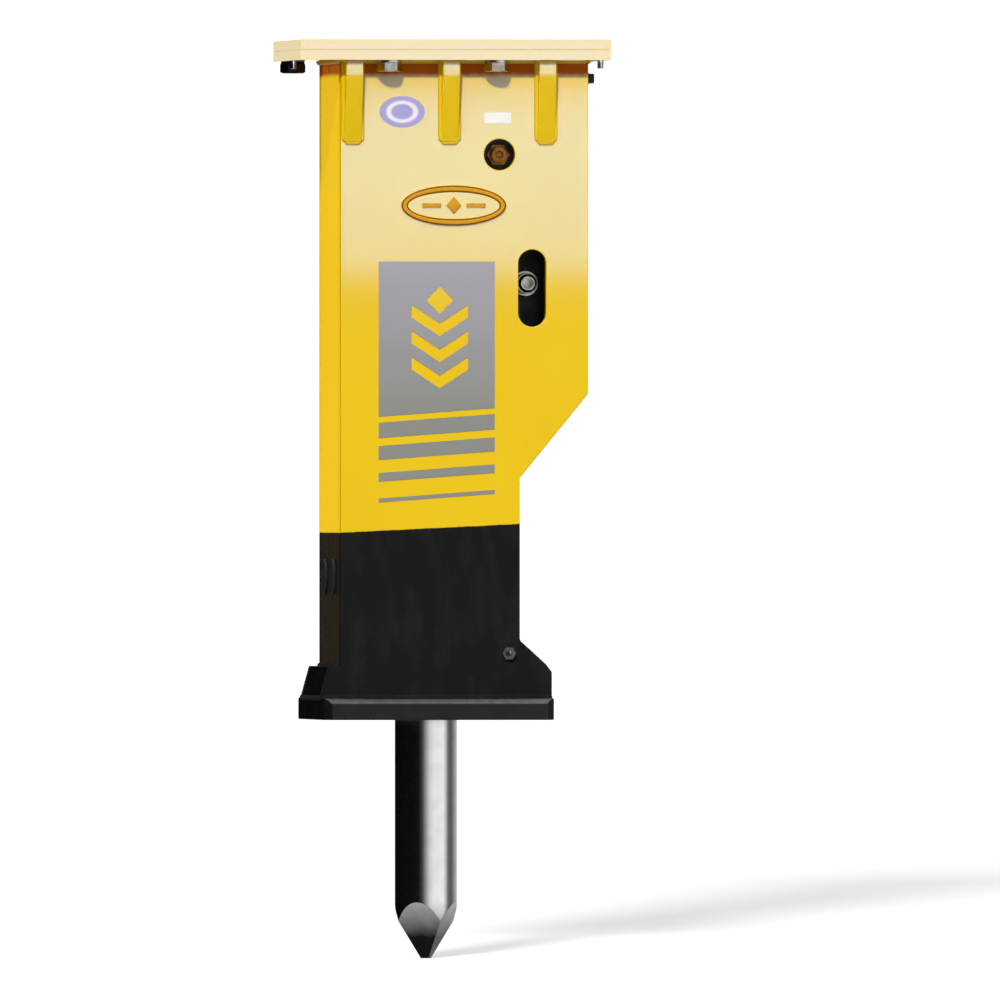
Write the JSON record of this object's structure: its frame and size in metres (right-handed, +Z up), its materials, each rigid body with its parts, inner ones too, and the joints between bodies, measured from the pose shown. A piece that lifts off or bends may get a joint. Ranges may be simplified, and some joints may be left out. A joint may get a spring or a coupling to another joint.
{
  "type": "hydraulic breaker hammer",
  "caption": "Box-housed hydraulic breaker hammer with a flanged top plate, a sprung power cell, a striking piston and a moil point tool.",
  "frame": {"origin": "on the tool axis, on the top mounting face", "axes": "+Z up, out of the mounting face; -Y towards the side that carries the badge; +X towards the valve bay. The tool points down -Z."},
  "size_m": [0.504, 0.37, 1.48],
  "materials": {
    "yellow_enamel": "glossy yellow machine enamel over welded steel plate",
    "two_tone_enamel": "glossy yellow enamel above, satin black enamel below the paint line",
    "black_enamel": "satin black enamel",
    "forged_steel": "forged and turned tool steel",
    "ground_steel": "ground and polished hardened steel",
    "machined_casting": "machined steel casting",
    "zinc_plated": "bright zinc plating",
    "black_oxide": "black oxide on alloy steel",
    "bronze": "aluminium bronze",
    "wear_plate": "hardened wear plate",
    "nitrile_rubber": "nitrile rubber",
    "polyurethane_seal": "cast polyurethane",
    "damper_rubber": "cast polyurethane damper",
    "grey_vinyl": "grey vinyl film",
    "lilac_vinyl": "pale lilac vinyl film",
    "white_vinyl": "white vinyl film"
  },
  "bodies": {
    "housing": {"top_plate": "yellow_enamel", "top_flange": "yellow_enamel", "top_plate_bolts": "zinc_plated", "top_plate_washers": "zinc_plated", "dowel_pins": "ground_steel", "front_side_plate": "two_tone_enamel", "rear_side_plate": "two_tone_enamel", "left_wall": "two_tone_enamel", "right_wall": "two_tone_enamel", "front_gussets": "yellow_enamel", "rear_gussets": "yellow_enamel", "bottom_plate": "black_enamel", "left_boot_plate": "black_enamel", "right_boot_plate": "black_enamel", "upper_guides": "wear_plate", "lower_guides": "wear_plate", "pin_access_covers": "nitrile_rubber", "upper_damper": "damper_rubber", "lower_damper": "damper_rubber", "name_badge": "yellow_enamel", "panel_decal": "grey_vinyl", "stripe_decals": "grey_vinyl", "round_decal": "lilac_vinyl", "plain_label": "white_vinyl", "grease_nipple": "zinc_plated", "side_plug": "black_oxide"},
    "power_cell": {"back_head": "machined_casting", "cylinder_body": "machined_casting", "front_head": "machined_casting", "through_bolts": "black_oxide", "through_nuts": "black_oxide", "through_washers": "black_oxide", "seal_retainer": "bronze", "gas_seal": "polyurethane_seal", "step_seal": "polyurethane_seal", "buffer_seal": "polyurethane_seal", "u_packing": "polyurethane_seal", "dust_seal": "polyurethane_seal", "head_oring": "nitrile_rubber", "thrust_bush": "bronze", "lower_bush": "bronze", "bush_lock_pins": "ground_steel", "tool_dust_seal": "polyurethane_seal", "rod_pins": "ground_steel", "pin_stoppers": "black_oxide", "stopper_plugs": "nitrile_rubber", "valve_block": "machined_casting", "valve_bolts": "black_oxide", "valve_cap": "machined_casting", "valve_cap_bolts": "black_oxide", "port_orings": "nitrile_rubber", "adjuster_lock_nut": "zinc_plated", "hose_adapters": "zinc_plated", "gas_valve": "bronze", "gas_valve_cap": "bronze"},
    "piston": {"piston": "ground_steel"},
    "tool": {"tool": "forged_steel"},
    "spool": {"spool": "ground_steel"},
    "flow_adjuster": {"flow_adjuster": "black_oxide"}
  },
  "joints": [
    {"name": "cell_float", "type": "slide", "parent": "housing", "child": "power_cell", "axis": [0, 0, 1], "range_m": [-0.004, 0.004], "stiffness_N_per_m": 4000000, "springref_m": 0.0009, "deforming": ["upper_damper", "lower_damper"]},
    {"name": "piston_stroke", "type": "slide", "parent": "power_cell", "child": "piston", "axis": [0, 0, 1], "range_m": [0, 0.11]},
    {"name": "tool_slide", "type": "slide", "parent": "power_cell", "child": "tool", "axis": [0, 0, 1], "range_m": [0, 0.045]},
    {"name": "spool_slide", "type": "slide", "parent": "power_cell", "child": "spool", "axis": [0, 0, 1], "range_m": [0, 0.012]},
    {"name": "adjuster_turn", "type": "hinge", "parent": "power_cell", "child": "flow_adjuster", "pos_m": [0.152, -0.1, -0.5], "axis": [0, -1, 0], "range_deg": [0, 720]}
  ]
}
